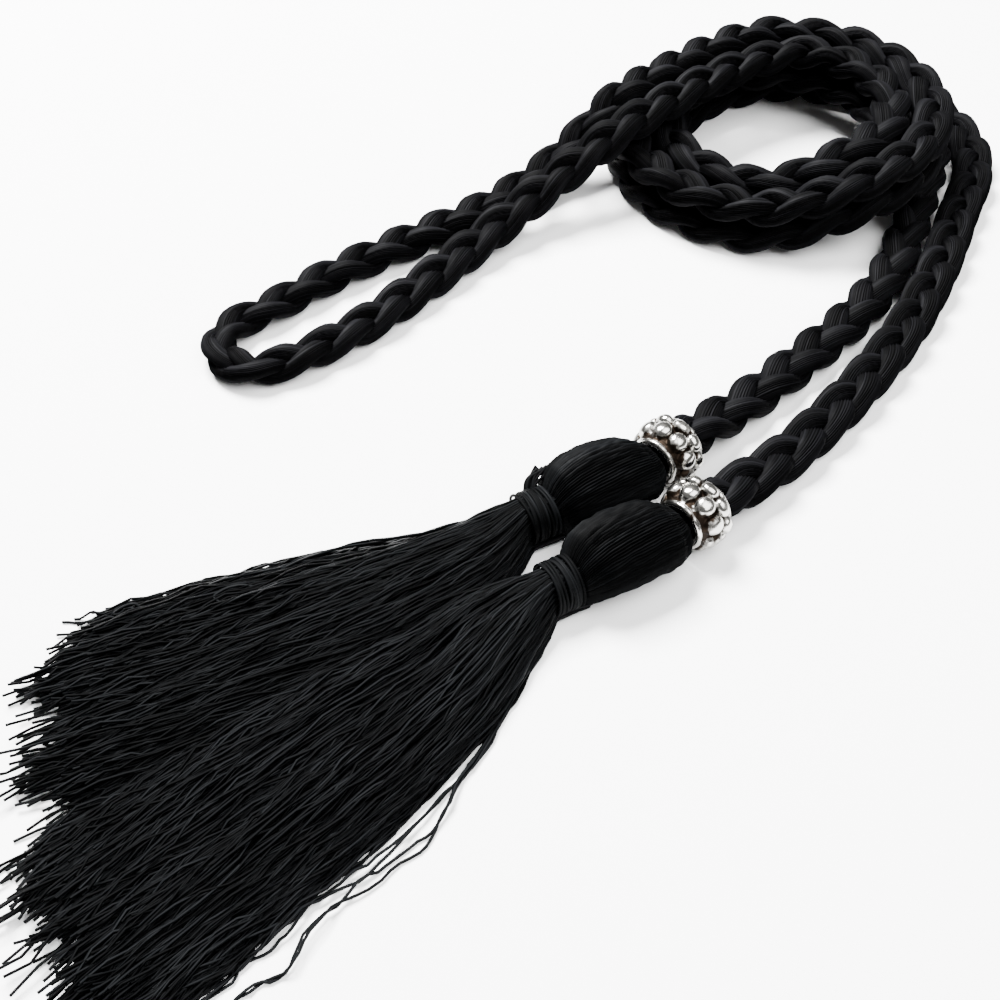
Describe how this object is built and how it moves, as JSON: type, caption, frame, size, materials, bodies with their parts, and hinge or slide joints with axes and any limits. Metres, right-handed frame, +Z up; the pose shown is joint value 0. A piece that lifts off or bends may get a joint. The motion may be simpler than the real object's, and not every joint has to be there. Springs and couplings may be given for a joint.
{
  "type": "rope belt",
  "caption": "Flat three-strand braided rope belt with a knobbly metal bead and a bound tassel on each end, lying folded in half and coiled.",
  "frame": {"origin": "on the surface that the belt lies on, under the middle of its bounding box", "axes": "+Z up from the surface; +Y away from the viewer of the picture, towards the coil, and the longest extent; +X to the viewer's right"},
  "size_m": [0.1996, 0.271, 0.0219],
  "materials": {
    "braid": "silky twisted thread",
    "bead": "antique silver plating, polished domes over dark grooves",
    "tassel": "loose silky thread",
    "binding": "tightly wound thread"
  },
  "bodies": {
    "root": {"braid_strand_1": "braid", "braid_strand_2": "braid", "braid_strand_3": "braid", "bead_1": "bead", "tassel_1": "tassel", "binding_1": "binding", "bead_2": "bead", "tassel_2": "tassel", "binding_2": "binding"}
  },
  "joints": []
}
